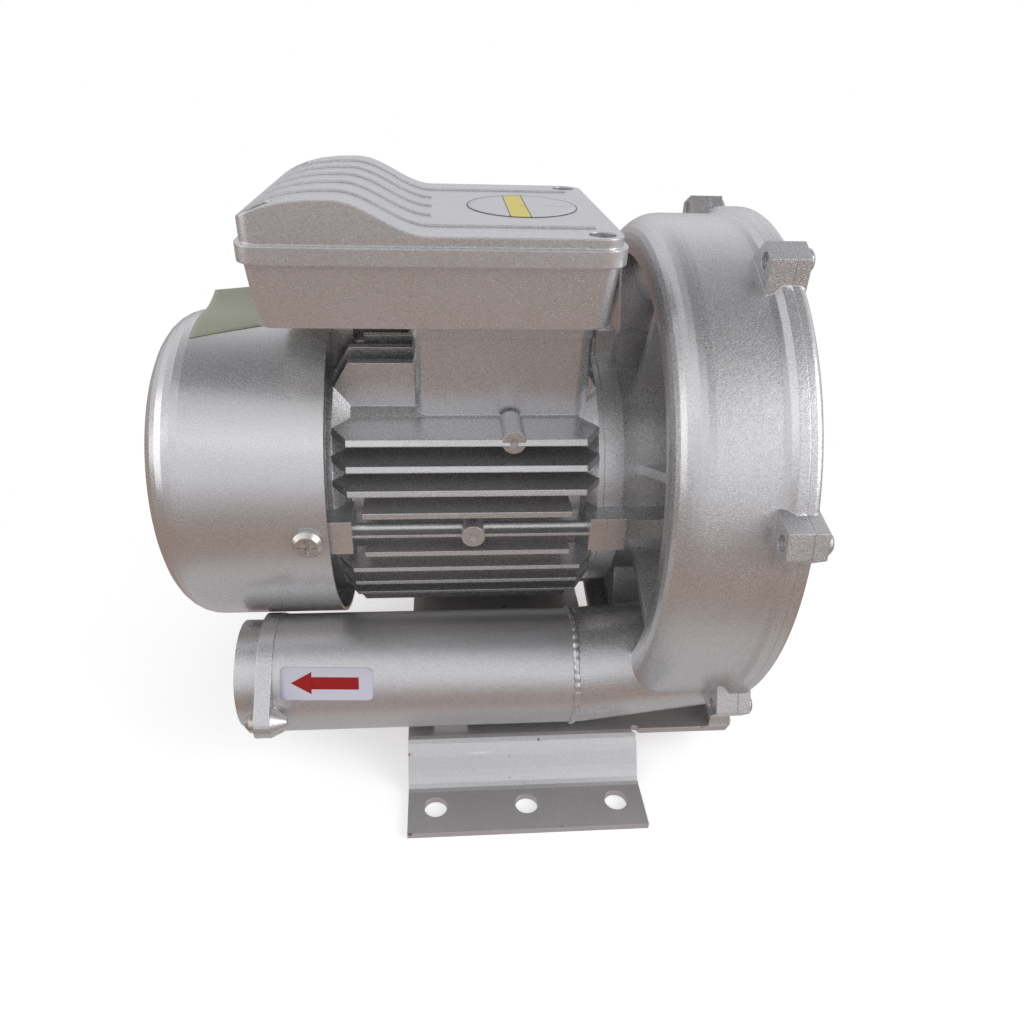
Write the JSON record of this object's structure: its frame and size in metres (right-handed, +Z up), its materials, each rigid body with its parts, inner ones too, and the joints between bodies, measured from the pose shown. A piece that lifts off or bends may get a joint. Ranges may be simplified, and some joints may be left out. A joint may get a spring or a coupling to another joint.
{
  "type": "side channel blower",
  "caption": "Side channel blower: round cast casing with ears, finned motor with fan cowl, terminal box with a humped lid, silencer tubes and a bent sheet foot.",
  "frame": {"origin": "middle of the foot holes, on the base plane under the foot's flanges", "axes": "+X along the shaft from the fan cowl to the blower cover, +Y from the outlet silencer to the inlet silencer, +Z up"},
  "size_m": [0.2565, 0.242, 0.2522],
  "materials": {
    "cast_paint": "silver metallic paint with a fine grain over rough aluminium castings",
    "silver_paint": "silver metallic paint over pressed sheet",
    "foot_paint": "silver metallic paint over bent sheet steel, scratched and rusty at the edges",
    "zinc_steel": "zinc plated, dull",
    "bright_steel": "ground",
    "black_rubber": "matt",
    "grey_foam": "open-cell foam",
    "core_steel": "stacked laminations, varnished",
    "copper_wire": "varnished copper wire",
    "brass": "turned",
    "bare_aluminium": "as cast",
    "black_plastic": "moulded, fine texture",
    "brown_plastic": "moulded thermoset",
    "white_plastic": "smooth"
  },
  "bodies": {
    "frame": {"foot_bracket": "foot_paint", "foot_bolts": "zinc_steel", "blower_housing": "cast_paint", "blower_cover": "cast_paint", "cover_seal": "black_rubber", "cover_bolts": "zinc_steel", "outlet_silencer_tube": "cast_paint", "inlet_silencer_tube": "cast_paint", "outlet_port_flange": "cast_paint", "inlet_port_flange": "cast_paint", "outlet_foam_liner": "grey_foam", "inlet_foam_liner": "grey_foam", "silencer_seals": "black_rubber", "port_screws": "zinc_steel", "stator_housing": "cast_paint", "stator_core": "core_steel", "stator_windings": "copper_wire", "fan_end_shield": "bare_aluminium", "bearing_outer_rings": "bright_steel", "wave_washer": "bright_steel", "shaft_seal": "black_rubber", "tie_bolts": "zinc_steel", "fan_cowl": "silver_paint", "cowl_screws": "zinc_steel", "terminal_box": "cast_paint", "box_foot_gasket": "black_rubber", "box_screws": "zinc_steel", "box_gasket": "black_rubber", "terminal_box_lid": "cast_paint", "lid_screws": "zinc_steel", "run_capacitor": "white_plastic", "capacitor_clamp": "zinc_steel", "terminal_block": "brown_plastic", "terminal_studs": "brass", "earth_screw": "brass", "cable_gland": "black_plastic", "gland_insert": "black_rubber"},
    "rotor": {"motor_shaft": "bright_steel", "rotor_core": "core_steel", "rotor_end_rings": "bare_aluminium", "impeller": "bare_aluminium", "impeller_key": "zinc_steel", "impeller_washer": "zinc_steel", "impeller_screw": "zinc_steel", "cooling_fan": "black_plastic", "fan_clip": "bright_steel", "bearing_inner_rings": "bright_steel"},
    "ball_set": {"bearing_balls": "bright_steel", "bearing_cages": "brass"}
  },
  "joints": [
    {"name": "rotor_spin", "type": "hinge", "parent": "frame", "child": "rotor", "pos_m": [0, 0, 0.126], "axis": [1, 0, 0], "continuous": true},
    {"name": "ball_set_spin", "type": "hinge", "parent": "frame", "child": "ball_set", "pos_m": [0, 0, 0.126], "axis": [1, 0, 0], "continuous": true}
  ],
  "couplings": [
    {"joint": "ball_set_spin", "follows": "rotor_spin", "ratio": 0.382}
  ]
}
